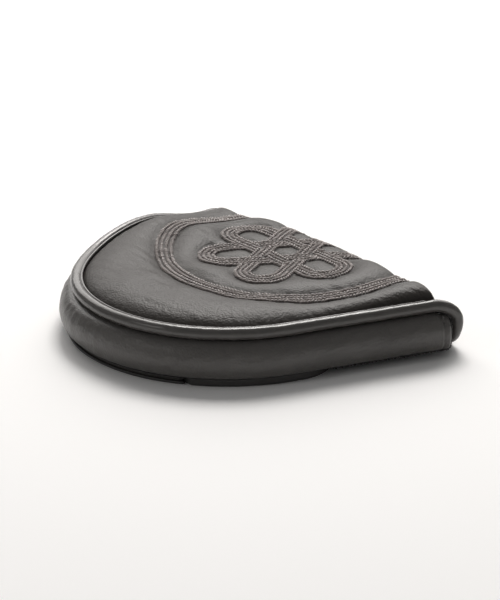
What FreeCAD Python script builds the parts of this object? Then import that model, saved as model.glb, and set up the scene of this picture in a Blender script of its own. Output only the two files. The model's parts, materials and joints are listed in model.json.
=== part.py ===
# Putter head cover: a padded leather top on a bulged side wall, closed below by a magnetic flap.
# Millimetres. +Z up, -Y the nose, +Y the mouth, X from toe to heel, symmetric about X = 0.
# The origin is the middle of the footprint, on the surface that the cover stands on.
import FreeCAD, Part
import math
import os

# ---- driving dimensions ----
nose_radius = 49.8          # plan radius of the nose, at the seam under the piping
side_flare = 13.8           # degrees each side opens out towards the mouth
corner_half_width = 60.2    # half width at the two mouth corners
lip_reach = 28.0            # how far the front lip runs past the mouth corners, on the centre line
wall_height = 11.5          # side wall, lower welt to the seam under the piping
wall_bulge = 4.6            # how far the padded wall stands out at its middle
wall_splay = 3.4            # how far the wall's lower edge stands outside its upper edge
dome_rise = 6.0             # padded top above its own edge
dome_softness = 9.0         # distance in from the edge over which the dome rises
crest_blend = 0.14          # rounding of the crest between the top and the front lip
piping_radius = 2.0
piping_cord_radius = 1.1
leather = 1.2               # outer leather
foam = 2.4                  # quilting foam under the top
wall_foam_thickness = 1.5
backing = 0.6               # woven backing behind the quilting
fleece = 2.0                # pocket lining
wall_fleece = 1.4
flap_leather = 1.0
board = 1.0                 # stiffening board in the flap
flap_fleece = 0.8
edge_binding = 0.8          # leather binding round the flap's edge
flap_front_corner = -36.0   # where the flap's side ends, measured from the corner line
flap_tongue = 20.0          # how far the flap's front edge bows past its corners
flap_corner_radius = 9.0
hinge_from_nose = 9.0       # hinge line in front of the nose seam
magnet_radius = 5.0
magnet_inset = 13.0         # magnet centre in from the flap's side edge
ring_half_width = 46.0      # outer edge of the embroidered ring, across
ring_nose_reach = 47.5      # outer edge of the ring from its centre to the nose side
ring_mouth_reach = 33.0     # outer edge of the ring from its centre to the mouth side
ring_centre = -8.0          # ring centre, measured from the corner line
band_width = 6.4            # embroidered bands
thread_height = 0.8         # height of the embroidery
thread_gap = 0.15           # under the embroidery
motif_centre = -12.0        # knot motif's centre, measured from the corner line
loop_reach = 30.0           # from the motif's centre to a loop's tip
loop_half_width = 10.0
welt_height = 0.8           # folded seam along the wall's lower edge
welt_width = 0.7
hem_width = 2.6             # bound hem at each end of the side wall
wall_setback = 2.0          # wall's end behind the mouth corner
tab_radius = 7.0            # magnet tab's round end
tab_leather = 0.8
turn_down = 6.5             # radius of the piping's turn from the side towards the floor
layer_gap = 0.25            # air between neighbouring soft layers
fit_gap = 0.3               # air between pieces that meet at a curved face
face_gap = 0.05             # air between flat layers that lie on each other
floor_gap = 0.5             # lowest point of the lip above the floor

# ---- places worked out from them ----
flare = math.radians(side_flare)
side_length = (corner_half_width - nose_radius * math.cos(flare)) / math.sin(flare)
nose_centre_y = nose_radius * math.sin(flare) - side_length * math.cos(flare)
nose_y = nose_centre_y - nose_radius
flap_thickness = flap_leather + board + flap_fleece + 2 * face_gap
wall_bottom = flap_thickness + fit_gap
seam_z = wall_bottom + wall_height
piping_z = seam_z + piping_radius
edge_z = seam_z + 0.6
lip_z = floor_gap + piping_radius
turn_in = piping_z - lip_z - turn_down
hinge_y = nose_y + hinge_from_nose
panel_inset = piping_radius + fit_gap
wall_total = leather + wall_foam_thickness + wall_fleece + 2 * layer_gap
layer_inset = wall_total + layer_gap + fit_gap
wall_trim = wall_setback + hem_width + 2 * face_gap
magnet_thickness = board - face_gap
UP = FreeCAD.Vector(0, 0, 1)


def vec(x, y, z=0.0):
    return FreeCAD.Vector(x, y, z)


def circle_arc(centre, radius, start, middle, end, z=0.0):
    """An arc in plan through three angles, in radians."""
    points = []
    for angle in (start, middle, end):
        points.append(vec(centre[0] + radius * math.cos(angle), centre[1] + radius * math.sin(angle), z))
    return Part.Arc(*points).toShape()


def side_point(inset, y):
    """Half width of the outline at y, moved in by inset."""
    return corner_half_width + y * math.tan(flare) - inset / math.cos(flare)


def lip_foot():
    """Where the piping meets the lip's lower arc: its x, its y and the arc's angle there."""
    down_x = corner_half_width + turn_down * math.sin(flare)
    down_y = turn_down * math.cos(flare)
    angle = 0.5
    for _ in range(30):
        x = down_x - turn_in * math.cos(angle)
        y = down_y + turn_in * math.sin(angle)
        angle = 2 * math.atan((lip_reach - y) / x)
    return x, y, angle


foot_x, foot_y, foot_angle = lip_foot()
lip_radius = (foot_x ** 2 + (lip_reach - foot_y) ** 2) / (2 * (lip_reach - foot_y))
lip_centre_y = lip_reach - lip_radius
lip_corner_y = turn_down * math.cos(flare)


def edge_distance(x, y):
    """Distance in from the outline's nose and sides."""
    x = abs(x)
    dy = y - nose_centre_y
    if dy < -x * math.tan(flare):
        return nose_radius - math.hypot(x, dy)
    return nose_radius - (x * math.cos(flare) - dy * math.sin(flare))


def lip_line(x):
    """Plan y of the lip's edge at x."""
    reach = math.sqrt(max(lip_radius ** 2 - x ** 2, 0.0)) + lip_centre_y
    return max(reach, lip_corner_y)


def top_height(x, y):
    """Outer face of the padded top and its front lip."""
    inside = max(edge_distance(x, y), -2.0)
    dome = edge_z + dome_rise * (1 - math.exp(-inside / dome_softness))
    along = y / lip_line(x)
    fall = (along + math.sqrt(along ** 2 + crest_blend ** 2)) / 2
    return dome - fall * (dome - lip_z)


def surface_sheet(depth, thickness, step=6.0):
    """A solid under the top surface: its upper face lies depth below, its lower face thickness further."""
    reach_x = corner_half_width + 2 * step
    back = nose_y - step
    front = lip_reach + step
    count_x = int(2 * reach_x / step) + 1
    count_y = int((front - back) / step) + 1
    grid = []
    for i in range(count_x):
        x = -reach_x + 2 * reach_x * i / (count_x - 1)
        row = []
        for j in range(count_y):
            y = back + (front - back) * j / (count_y - 1)
            row.append(vec(x, y, top_height(x, y) - depth))
        grid.append(row)
    surface = Part.BSplineSurface()
    surface.interpolate(grid)
    return surface.toShape().extrude(vec(0, 0, -thickness))


def plan_prism(inset, corner_radius=4.0):
    """Vertical prism of the top's plan outline, moved in by inset."""
    radius = nose_radius - inset
    bow_radius = lip_radius - inset
    low = -flare
    nose = circle_arc((0, nose_centre_y), radius, math.pi - low, -math.pi / 2, low)
    start = vec(radius * math.cos(flare), nose_centre_y - radius * math.sin(flare))
    along = vec(math.sin(flare), math.cos(flare))
    offset = start - vec(0, lip_centre_y)
    half_b = offset.dot(along)
    length = -half_b + math.sqrt(half_b ** 2 - offset.dot(offset) + bow_radius ** 2)
    corner = start + along * length
    mirror_corner = vec(-corner.x, corner.y)
    mirror_start = vec(-start.x, start.y)
    right = Part.LineSegment(start, corner).toShape()
    lip = Part.Arc(corner, vec(0, lip_centre_y + bow_radius), mirror_corner).toShape()
    left = Part.LineSegment(mirror_corner, mirror_start).toShape()
    face = Part.Face(Part.Wire(Part.sortEdges([nose, right, lip, left])[0]))
    prism = face.extrude(UP * 80)
    prism.translate(UP * -20)
    rounded = []
    for edge in prism.Edges:
        box = edge.BoundBox
        if box.ZLength > 70 and abs(abs(box.Center.x) - corner.x) < 0.01:
            rounded.append(edge)
    return prism.makeFillet(corner_radius, rounded)


def soft_layer(depth, thickness, inset):
    """One layer of the quilted top, trimmed to the outline and clear of the floor."""
    prism = plan_prism(inset)
    prism.translate(UP * (floor_gap - prism.BoundBox.ZMin))
    return surface_sheet(depth, thickness).common(prism)


def u_path(offset, z, trim=0.0):
    """Path round the nose and along both sides, offset outwards, stopping short of the corners."""
    radius = nose_radius + offset
    start = vec(radius * math.cos(flare), nose_centre_y - radius * math.sin(flare), z)
    end = start + vec(math.sin(flare), math.cos(flare)) * (side_length - trim)
    nose = circle_arc((0, nose_centre_y), radius, math.pi + flare, -math.pi / 2, -flare, z)
    right = Part.LineSegment(start, end).toShape()
    left = Part.LineSegment(vec(-end.x, end.y, z), vec(-start.x, start.y, z)).toShape()
    return Part.Wire([left, nose, right])


def profile_wire(edges, trim):
    """Carry a profile drawn in (outward, up) to the path's heel end and stand it across the path."""
    end = u_path(0.0, 0.0, trim).Vertexes[-1].Point
    wire = Part.Wire(edges)
    wire.rotate(vec(0, 0), UP, -side_flare)
    wire.translate(vec(end.x, end.y))
    return wire


def wall_bow(inset, low, high):
    """Arc of the bulged wall's face, moved in by inset, as its lower, middle and upper points."""
    lower = vec(wall_splay - inset, 0, low)
    middle = vec(wall_bulge - inset, 0, (low + high) / 2)
    upper = vec(-inset, 0, high)
    return lower, middle, upper


def wall_face(height):
    """How far the wall's outer face stands out at a height above its lower edge."""
    lower, middle, upper = wall_bow(0.0, 0.0, wall_height - fit_gap)
    arc = Part.Arc(lower, middle, upper).toShape()
    level = Part.makeLine(vec(-wall_bulge, 0, height), vec(3 * wall_bulge + wall_splay, 0, height))
    return arc.distToShape(level)[1][0][0].x


def wall_layer(inset, thickness, low, high, trim):
    outer = wall_bow(inset, low, high)
    inner = wall_bow(inset + thickness, low, high)
    edges = [Part.Arc(*outer).toShape()]
    edges.append(Part.LineSegment(outer[2], inner[2]).toShape())
    edges.append(Part.Arc(inner[2], inner[1], inner[0]).toShape())
    edges.append(Part.LineSegment(inner[0], outer[0]).toShape())
    profile = profile_wire(edges, trim)
    return u_path(0.0, 0.0, trim).makePipeShell([profile], True, True)


def band(low, high, inner, outer, trim):
    """A strip of rectangular section along the side path."""
    points = [vec(inner, 0, low), vec(outer, 0, low), vec(outer, 0, high), vec(inner, 0, high)]
    points.append(points[0])
    profile = profile_wire(Part.makePolygon(points).Edges, trim)
    return u_path(0.0, 0.0, trim).makePipeShell([profile], True, True)


def piping_path():
    """Closed path of the piping: round the nose, along the sides, down and across the lip."""
    upper = u_path(0.0, piping_z)
    corner = upper.Vertexes[-1].Point
    forward = vec(math.sin(flare), math.cos(flare))
    half_turn = math.sqrt(0.5)
    down_mid = corner + forward * turn_down * half_turn - UP * turn_down * (1 - half_turn)
    down_end = corner + forward * turn_down - UP * turn_down
    inward = vec(-math.cos(foot_angle), math.sin(foot_angle))
    in_mid = down_end + inward * turn_in * (1 - half_turn) - UP * turn_in * half_turn
    foot = down_end + inward * turn_in - UP * turn_in
    edges = list(upper.Edges)
    edges.append(Part.Arc(corner, down_mid, down_end).toShape())
    edges.append(Part.Arc(down_end, in_mid, foot).toShape())
    edges.append(Part.Arc(foot, vec(0, lip_reach, lip_z), vec(-foot.x, foot.y, foot.z)).toShape())
    for arc in (edges[4], edges[3]):
        points = [vec(-v.x, v.y, v.z) for v in (arc.valueAt(arc.LastParameter),
                  arc.valueAt((arc.FirstParameter + arc.LastParameter) / 2),
                  arc.valueAt(arc.FirstParameter))]
        edges.append(Part.Arc(*points).toShape())
    return Part.Wire(edges)


def tube(path, radius):
    start = path.Edges[0]
    point = start.valueAt(start.FirstParameter)
    direction = start.tangentAt(start.FirstParameter)
    section = Part.Wire([Part.makeCircle(radius, point, direction)])
    return path.makePipeShell([section], True, True)


def half_ellipse(across, reach):
    """Half an ellipse about the ring's centre, on the mouth side if reach is positive."""
    centre = vec(0, ring_centre)
    side = vec(across, ring_centre)
    tip = vec(0, ring_centre + reach)
    if abs(reach) > across:
        ellipse = Part.Ellipse(tip, side, centre)
        quarter = math.pi / 2
    else:
        ellipse = Part.Ellipse(side, tip, centre)
        quarter = 0.0
    return ellipse.toShape(quarter * -1, math.pi - quarter)


def oval_prism(shrink):
    """Prism of the ring's oval outline, moved in by shrink."""
    across = ring_half_width - shrink
    halves = [half_ellipse(across, shrink - ring_nose_reach)]
    halves.append(half_ellipse(across, ring_mouth_reach - shrink))
    prism = Part.Face(Part.Wire(Part.sortEdges(halves)[0])).extrude(UP * 80)
    prism.translate(UP * -20)
    return prism


def loop_prism(turn, shrink):
    """Prism of one long rounded loop through the motif's centre, moved in by shrink."""
    half = loop_half_width - shrink
    straight = loop_reach - loop_half_width
    edges = [Part.LineSegment(vec(-straight, -half), vec(straight, -half)).toShape()]
    edges.append(circle_arc((straight, 0), half, -math.pi / 2, 0, math.pi / 2))
    edges.append(Part.LineSegment(vec(straight, half), vec(-straight, half)).toShape())
    edges.append(circle_arc((-straight, 0), half, math.pi / 2, math.pi, 1.5 * math.pi))
    prism = Part.Face(Part.Wire(edges)).extrude(UP * 80)
    prism.rotate(vec(0, 0), UP, turn)
    prism.translate(vec(0, motif_centre, -20))
    return prism


def flap_prism(shrink, low, high):
    """The flap's outline, moved in by shrink, between two heights."""
    radius = nose_radius + wall_splay - shrink
    side = circle_arc((0, nose_centre_y), radius, math.pi + flare, -math.pi / 2, -flare)
    start = vec(radius * math.cos(flare), nose_centre_y - radius * math.sin(flare))
    front_y = flap_front_corner - shrink
    end = start + vec(math.tan(flare), 1) * (front_y - start.y)
    tip = vec(0, front_y + flap_tongue)
    edges = [side, Part.LineSegment(start, end).toShape()]
    edges.append(Part.Arc(end, tip, vec(-end.x, end.y)).toShape())
    edges.append(Part.LineSegment(vec(-end.x, end.y), vec(-start.x, start.y)).toShape())
    solid = Part.Face(Part.Wire(Part.sortEdges(edges)[0])).extrude(UP * (high - low))
    solid.translate(UP * low)
    corners = []
    for edge in solid.Edges:
        box = edge.BoundBox
        if box.XLength < 0.01 and box.YLength < 0.01 and abs(box.Center.y - front_y) < 0.01:
            corners.append(edge)
    solid = solid.makeFillet(flap_corner_radius - shrink, corners)
    keep = Part.makeBox(200, 200, high - low, vec(-100, hinge_y + fit_gap + shrink, low))
    return solid.common(keep)


def magnet_places():
    """Magnet centres in plan, toe side then heel side."""
    y = flap_front_corner - magnet_inset
    x = side_point(0.0, y) + wall_splay - magnet_inset
    return (vec(-x, y), vec(x, y))


def discs(radius, low, high):
    solids = []
    for place in magnet_places():
        solids.append(Part.makeCylinder(radius, high - low, place + UP * low))
    return Part.makeCompound(solids)


def crescent(shrink, low, high):
    """A layer of the fixed part of the underside, sewn in round the nose behind the hinge line."""
    radius = nose_radius + wall_splay - shrink
    disc = Part.makeCylinder(radius, high - low, vec(0, nose_centre_y, low))
    front = hinge_y - fit_gap - shrink
    keep = Part.makeBox(200, 200, high - low, vec(-100, front - 200, low))
    return disc.common(keep)


def wall_end_strip(side):
    """Bound hem that closes the wall's layers at one mouth corner."""
    outer = wall_bow(-0.4, wall_bottom, seam_z - fit_gap)
    inner = wall_bow(wall_total + 0.2, wall_bottom, seam_z - fit_gap)
    edges = [Part.Arc(*outer).toShape(), Part.LineSegment(outer[2], inner[2]).toShape()]
    edges.append(Part.Arc(inner[2], inner[1], inner[0]).toShape())
    edges.append(Part.LineSegment(inner[0], outer[0]).toShape())
    face = Part.Face(profile_wire(edges, wall_setback + hem_width))
    strip = face.extrude(vec(math.sin(flare), math.cos(flare)) * hem_width)
    if side < 0:
        strip = strip.mirror(vec(0, 0), vec(1, 0))
    return strip


def side_strips(low, high, inner, outer, start, end):
    """A pair of straight strips beside the flap's opening, between two distances from the corner."""
    points = [vec(inner, 0, low), vec(outer, 0, low), vec(outer, 0, high), vec(inner, 0, high)]
    points.append(points[0])
    face = Part.Face(profile_wire(Part.makePolygon(points).Edges, start))
    strip = face.extrude(vec(math.sin(flare), math.cos(flare)) * (end - start) * -1)
    return Part.makeCompound([strip, strip.mirror(vec(0, 0), vec(1, 0))])


def tabs(low, high):
    """A pair of tongues that reach in from the wall's lower seam over the flap's magnets."""
    inside = flap_prism(wall_total + fit_gap, low, high)
    solids = []
    for place in magnet_places():
        outward = 1 if place.x > 0 else -1
        tongue = Part.makeCylinder(tab_radius, high - low, place + UP * low)
        length = magnet_inset * 2
        corner = place + vec(min(0, outward * length), -tab_radius, low)
        tongue = tongue.fuse(Part.makeBox(length, 2 * tab_radius, high - low, corner))
        solids.append(tongue.common(inside).removeSplitter().Solids[0])
    return Part.makeCompound(solids)


def top_parts():
    parts = {}
    depth = 0.0
    parts["top_panel"] = soft_layer(depth, leather, panel_inset)
    depth += leather + layer_gap
    parts["top_foam"] = soft_layer(depth, foam, layer_inset)
    depth += foam + layer_gap
    parts["top_backing"] = soft_layer(depth, backing, layer_inset)
    depth += backing + layer_gap
    parts["top_lining"] = soft_layer(depth, fleece, layer_inset)

    thread = surface_sheet(-thread_height - thread_gap, thread_height)
    thread = thread.common(plan_prism(panel_inset + 1))
    ring = oval_prism(0.0).cut(oval_prism(band_width))
    parts["ring_embroidery"] = thread.common(ring)
    knot = None
    for turn in (0, 60, 120):
        loop = loop_prism(turn, 0.0).cut(loop_prism(turn, band_width))
        knot = loop if knot is None else knot.fuse(loop)
    parts["motif_embroidery"] = thread.common(knot)
    return parts


def edge_parts():
    path = piping_path()
    cord_hole = tube(path, piping_cord_radius + face_gap)
    parts = {"piping_cover": tube(path, piping_radius).cut(cord_hole)}
    parts["piping_cord"] = tube(path, piping_cord_radius)
    flange_low = seam_z - face_gap * 2
    flange_outer = -piping_radius - fit_gap
    flange = band(flange_low, seam_z + 0.4, -wall_total, flange_outer, wall_trim)
    parts["piping_flange"] = flange
    return parts


def wall_parts():
    parts = {}
    top = seam_z - fit_gap
    inset = 0.0
    parts["side_wall"] = wall_layer(inset, leather, wall_bottom, top, wall_trim)
    inset += leather + layer_gap
    parts["wall_foam"] = wall_layer(inset, wall_foam_thickness, wall_bottom, top, wall_trim)
    inset += wall_foam_thickness + layer_gap
    parts["wall_lining"] = wall_layer(inset, wall_fleece, wall_bottom, top, wall_trim)
    parts["wall_hem_heel"] = wall_end_strip(1)
    parts["wall_hem_toe"] = wall_end_strip(-1)
    welt_inner = wall_face(welt_height) + layer_gap / 2
    welt_top = wall_bottom + welt_height
    parts["lower_welt"] = band(wall_bottom, welt_top, welt_inner, welt_inner + welt_width, wall_trim)
    return parts


def underside_parts():
    board_low = flap_leather + face_gap
    board_high = flap_leather + board
    lining_low = board_high + face_gap
    parts = {"bottom_rear_panel": crescent(0.0, 0.0, flap_leather)}
    parts["bottom_rear_board"] = crescent(1.0, board_low, board_high)
    parts["bottom_rear_lining"] = crescent(0.0, lining_low, flap_thickness)

    pocket_floor = wall_bottom + tab_leather
    tab_top = pocket_floor + face_gap + magnet_thickness
    pockets = discs(magnet_radius + fit_gap / 2, pocket_floor, tab_top + 1)
    parts["magnet_tabs"] = tabs(wall_bottom, tab_top).cut(pockets)
    parts["wall_magnets"] = discs(magnet_radius, pocket_floor + face_gap, tab_top)
    parts["magnet_tab_covers"] = tabs(tab_top + face_gap, tab_top + tab_leather)
    fringe_end = (-flap_front_corner - flap_corner_radius + 2) / math.cos(flare)
    fringe = side_strips(floor_gap, wall_bottom - fit_gap, -wall_total, 1.5, wall_setback, fringe_end)
    parts["lining_fringe"] = fringe
    return parts


def flap_parts():
    board_low = flap_leather + face_gap
    board_high = flap_leather + board
    lining_low = board_high + face_gap
    inset = edge_binding + face_gap
    binding = flap_prism(0.0, 0.0, flap_thickness).cut(flap_prism(edge_binding, 0.0, flap_thickness))
    parts = {"flap_binding": binding}
    parts["flap_panel"] = flap_prism(inset, 0.0, flap_leather)
    holes = discs(magnet_radius + fit_gap / 2, board_low, board_high)
    parts["flap_stiffener"] = flap_prism(inset + 1, board_low, board_high).cut(holes)
    parts["flap_magnets"] = discs(magnet_radius, board_low, board_high)
    parts["flap_lining"] = flap_prism(inset, lining_low, flap_thickness)
    return parts


if __name__ == "__main__":
    os.makedirs("parts", exist_ok=True)
    pieces = {}
    for group in (top_parts, edge_parts, wall_parts, underside_parts, flap_parts):
        pieces.update(group())
    box = Part.makeCompound(list(pieces.values())).optimalBoundingBox()
    for piece_name, shape in pieces.items():
        shape.translate(vec(0, -box.Center.y))
        print(piece_name, shape.isValid(), len(shape.Solids), round(shape.Volume, 1))
        shape.exportStep("parts/" + piece_name + ".step")
    print("hinge y", round(hinge_y - box.Center.y, 3), "corner line y", round(-box.Center.y, 3))
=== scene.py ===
import json
import math

import bmesh
import bpy
import numpy as np
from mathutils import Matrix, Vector


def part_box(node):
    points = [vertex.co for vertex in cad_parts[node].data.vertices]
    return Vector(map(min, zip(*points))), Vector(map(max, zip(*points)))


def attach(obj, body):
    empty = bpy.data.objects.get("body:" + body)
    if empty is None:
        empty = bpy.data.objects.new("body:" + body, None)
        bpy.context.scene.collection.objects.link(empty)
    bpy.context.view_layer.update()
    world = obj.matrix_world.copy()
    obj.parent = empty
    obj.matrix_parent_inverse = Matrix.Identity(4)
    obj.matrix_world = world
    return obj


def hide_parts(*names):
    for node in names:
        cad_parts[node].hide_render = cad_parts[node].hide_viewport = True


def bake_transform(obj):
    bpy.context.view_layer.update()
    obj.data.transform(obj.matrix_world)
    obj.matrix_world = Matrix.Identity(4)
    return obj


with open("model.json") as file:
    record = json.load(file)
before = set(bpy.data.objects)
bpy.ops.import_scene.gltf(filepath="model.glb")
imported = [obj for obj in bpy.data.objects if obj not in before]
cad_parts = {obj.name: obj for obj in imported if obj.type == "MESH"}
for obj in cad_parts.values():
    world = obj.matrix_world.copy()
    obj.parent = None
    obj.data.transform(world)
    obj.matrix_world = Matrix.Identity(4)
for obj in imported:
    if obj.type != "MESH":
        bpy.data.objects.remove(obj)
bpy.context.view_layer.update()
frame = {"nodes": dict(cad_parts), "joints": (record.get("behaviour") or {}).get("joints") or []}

# ---------------------------------------------------------------- sizes, in millimetres
MM = 0.001
NOSE_RADIUS = 49.8
FLARE = math.radians(13.8)
CORNER_HALF_WIDTH = 60.2
TURN_DOWN = 6.5             # piping's turn from the side towards the floor
PIPE = 2.0                  # piping radius
CORD = 1.1
BAND = 6.4                  # width of the embroidered bands
RING_ACROSS = 46.0
RING_NOSE = 47.5
RING_MOUTH = 33.0
RING_CENTRE = -8.0          # from the corner line
KNOT_CENTRE = -12.0
LOOP_REACH = 30.0
LOOP_HALF = 10.0
PUFF = 2.7                  # how far the padding swells between seams
PUFF_SPREAD = 4.0           # how far from a seam it takes to swell
SKIN = 5.2                  # thickness of the quilted top, leather to backing


def low(node, axis):
    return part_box(node)[0][axis] / MM


def high(node, axis):
    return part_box(node)[1][axis] / MM


NOSE_Y = low("piping_cord", 1) + CORD
LIP_Y = high("piping_cord", 1) - CORD
PIPE_Z = high("piping_cord", 2) - CORD
LIP_Z = low("piping_cord", 2) + CORD
SEAM_Z = PIPE_Z - PIPE
WALL_LOW = low("side_wall", 2)
FLAP_TOP = high("flap_lining", 2)
HINGE_Y = frame["joints"][0]["pos_m"][1] / MM
SIDE = (CORNER_HALF_WIDTH - NOSE_RADIUS * math.cos(FLARE)) / math.sin(FLARE)
NOSE_CENTRE = NOSE_Y + NOSE_RADIUS
CORNER_Y = NOSE_CENTRE - NOSE_RADIUS * math.sin(FLARE) + SIDE * math.cos(FLARE)
ARC = NOSE_RADIUS * (math.pi - 2 * FLARE)
PATH = 2 * SIDE + ARC
WALL_BACK = -5.5            # wall's folded end, from the mouth corner back towards the nose
BELLY = 1.5                 # how far the piping swings out as it turns down at the mouth corners
HEM = 3.2
WALL_START = WALL_BACK + HEM
WALL_SPLAY = 3.4            # how far the wall's lower edge stands outside its upper edge
FLAP_FRONT = -36.0          # where the flap's side ends, from the corner line
FLAP_TONGUE = 20.0          # how far the flap's front edge bows past its corners
FLAP_CORNER = 9.0
SAG = 0.19                  # how much lower the toe side's mouth corner hangs, as a share
TOE_FULL = 0.155            # how much fuller the toe side stands at its middle, as a share
TOE_OUT = 2.4               # how far the toe side bulges out there
RING_WIDEN = 0.07           # the ring's extra width towards the mouth, as a share
RING_SQUARE = (0.62, 0.85)  # powers that square it there, across and along; 1 is an ellipse


# ---------------------------------------------------------------- plan shapes
def u_path(s, out=0.0):
    """Points and outward directions round the nose, from the toe corner to the heel corner."""
    s = np.asarray(s, float)
    turn = np.clip((s - SIDE) / NOSE_RADIUS, 0, ARC / NOSE_RADIUS)
    angle = math.pi + FLARE + turn
    normal = np.stack([np.cos(angle), np.sin(angle)], -1)
    point = np.stack([NOSE_RADIUS * normal[..., 0], NOSE_CENTRE + NOSE_RADIUS * normal[..., 1]], -1)
    before = np.minimum(s - SIDE, 0)[..., None]
    after = np.maximum(s - SIDE - ARC, 0)[..., None]
    tangent = np.stack([-normal[..., 1], normal[..., 0]], -1)
    point = point + tangent * (before + after)
    return point + normal * np.asarray(out)[..., None], normal


def lip_foot():
    down_x = CORNER_HALF_WIDTH + TURN_DOWN * math.sin(FLARE)
    down_y = CORNER_Y + TURN_DOWN * math.cos(FLARE)
    turn_in = PIPE_Z - LIP_Z - TURN_DOWN
    angle = 0.5
    for _ in range(30):
        x = down_x - turn_in * math.cos(angle)
        y = down_y + turn_in * math.sin(angle)
        angle = 2 * math.atan((LIP_Y - y) / x)
    return x, y, angle, turn_in


FOOT_X, FOOT_Y, FOOT_ANGLE, TURN_IN = lip_foot()
LIP_RADIUS = (FOOT_X ** 2 + (LIP_Y - FOOT_Y) ** 2) / (2 * (LIP_Y - FOOT_Y))
LIP_CENTRE = LIP_Y - LIP_RADIUS
CORNER_LIP = TURN_DOWN * BELLY * math.cos(FLARE)
CENTRE = np.array([0.0, CORNER_Y - 30])


def edge_distance(x, y):
    """Distance in from the nose and the sides."""
    x = np.abs(x)
    dy = y - NOSE_CENTRE
    round_nose = NOSE_RADIUS - np.hypot(x, dy)
    straight = NOSE_RADIUS - (x * math.cos(FLARE) - dy * math.sin(FLARE))
    return np.where(dy < -x * math.tan(FLARE), round_nose, straight)


def lip_line(x):
    """How far the lip's edge lies past the corner line at x."""
    reach = np.sqrt(np.maximum(LIP_RADIUS ** 2 - x ** 2, 0)) + LIP_CENTRE - CORNER_Y
    return np.maximum(reach, CORNER_LIP)


def seam_distance(x, y):
    """Distance in from the whole edge of the top, lip included."""
    lip = LIP_RADIUS - np.hypot(x, y - LIP_CENTRE)
    return np.minimum(edge_distance(x, y), lip)


def edge_of(distance, centre, count, inset, start=0.0):
    """Closed plan line at an inset from a shape's edge, seen from a centre."""
    angle = np.linspace(0, 2 * math.pi, count, endpoint=False) + start
    way = np.stack([np.cos(angle), np.sin(angle)], -1)
    near, far = np.zeros(count), np.full(count, 150.0)
    for _ in range(40):
        middle = (near + far) / 2
        p = centre + way * middle[:, None]
        inside = distance(p[:, 0], p[:, 1]) > inset
        near = np.where(inside, middle, near)
        far = np.where(inside, far, middle)
    return centre + way * near[:, None]


def outline(count, out=0.0):
    """Closed outline of the top in plan, with rounded mouth corners, counted from the nose."""
    soft = edge_of(seam_distance, CENTRE, 4 * count, -out, -math.pi / 2)
    for _ in range(12):
        soft = (np.roll(soft, 1, 0) + soft + np.roll(soft, -1, 0)) / 3
    lengths = np.hypot(*(np.roll(soft, -1, 0) - soft).T)
    along = np.concatenate([[0], np.cumsum(lengths)])
    closed = np.vstack([soft, soft[:1]])
    even = np.linspace(0, along[-1], count, endpoint=False)
    return np.stack([np.interp(even, along, closed[:, k]) for k in (0, 1)], -1), even


# ---------------------------------------------------------------- smooth seeded noise
def waves(points, length, seed, count=26):
    """Smooth noise about zero: a sum of sine waves of about one wavelength, in random directions."""
    rng = np.random.default_rng(seed)
    points = np.asarray(points, float)
    total = np.zeros(points.shape[:-1])
    for _ in range(count):
        direction = rng.normal(size=points.shape[-1])
        direction /= np.linalg.norm(direction)
        wave = length * rng.uniform(0.7, 1.5)
        total += np.sin(points @ direction * (2 * math.pi / wave) + rng.uniform(0, 2 * math.pi))
    return total / math.sqrt(count / 2)


# ---------------------------------------------------------------- embroidery lines
def ring_line(offset, count=720):
    """Centre line of the ring, moved out by offset: round at the nose, squarer towards the mouth."""
    angle = np.linspace(0, 2 * math.pi, count, endpoint=False)
    across = RING_ACROSS - BAND / 2 + offset
    up = np.maximum(np.sin(angle), 0)
    reach = np.where(np.sin(angle) > 0, RING_MOUTH, RING_NOSE) - BAND / 2 + offset
    wide = np.where(up > 0, np.abs(np.cos(angle)) ** RING_SQUARE[0], np.abs(np.cos(angle)))
    far = np.where(up > 0, up ** RING_SQUARE[1], np.sin(angle))
    x = across * np.sign(np.cos(angle)) * wide * (1 + RING_WIDEN * up)
    y = CORNER_Y + RING_CENTRE + reach * far
    return np.stack([x, y], -1)


def loop_line(turn, offset, count=480):
    """One long rounded loop of the knot, moved out by offset. Its second half mirrors the first."""
    half = LOOP_HALF - BAND / 2 + offset
    straight = LOOP_REACH - LOOP_HALF
    length = 2 * straight + math.pi * half
    s = np.linspace(0, 2 * length, count, endpoint=False)
    d = np.where(s < length, s, s - length)
    side = np.where(s < length, 1.0, -1.0)
    bend = (d - 2 * straight) / half - math.pi / 2
    along = side * np.where(d < 2 * straight, d - straight, straight + half * np.cos(bend))
    across = side * np.where(d < 2 * straight, -half, half * np.sin(bend))
    x = along * math.cos(turn) - across * math.sin(turn)
    y = along * math.sin(turn) + across * math.cos(turn)
    return np.stack([x, CORNER_Y + KNOT_CENTRE + y], -1)


LOOP_TURNS = [math.radians(a) for a in (0, 60, 120)]


def line_distance(x, y, line):
    """Distance from plan points to a closed line."""
    best = np.full(x.shape, 1e9)
    for p, q in zip(line, np.roll(line, -1, 0)):
        d = q - p
        t = np.clip(((x - p[0]) * d[0] + (y - p[1]) * d[1]) / (d @ d), 0, 1)
        best = np.minimum(best, (x - p[0] - t * d[0]) ** 2 + (y - p[1] - t * d[1]) ** 2)
    return np.sqrt(best)


# ---------------------------------------------------------------- the quilted top's surface
STEP = 0.6


class Field:
    """A height map over the plan, read by smooth interpolation."""

    def __init__(self, values, x0, y0, step):
        self.values, self.x0, self.y0, self.step = values, x0, y0, step

    def __call__(self, x, y):
        i = np.clip((x - self.x0) / self.step, 0, self.values.shape[0] - 1.001)
        j = np.clip((y - self.y0) / self.step, 0, self.values.shape[1] - 1.001)
        a, b = i.astype(int), j.astype(int)
        u, v = i - a, j - b
        f = self.values
        top = f[a, b] * (1 - u) + f[a + 1, b] * u
        bottom = f[a, b + 1] * (1 - u) + f[a + 1, b + 1] * u
        return top * (1 - v) + bottom * v


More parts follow.
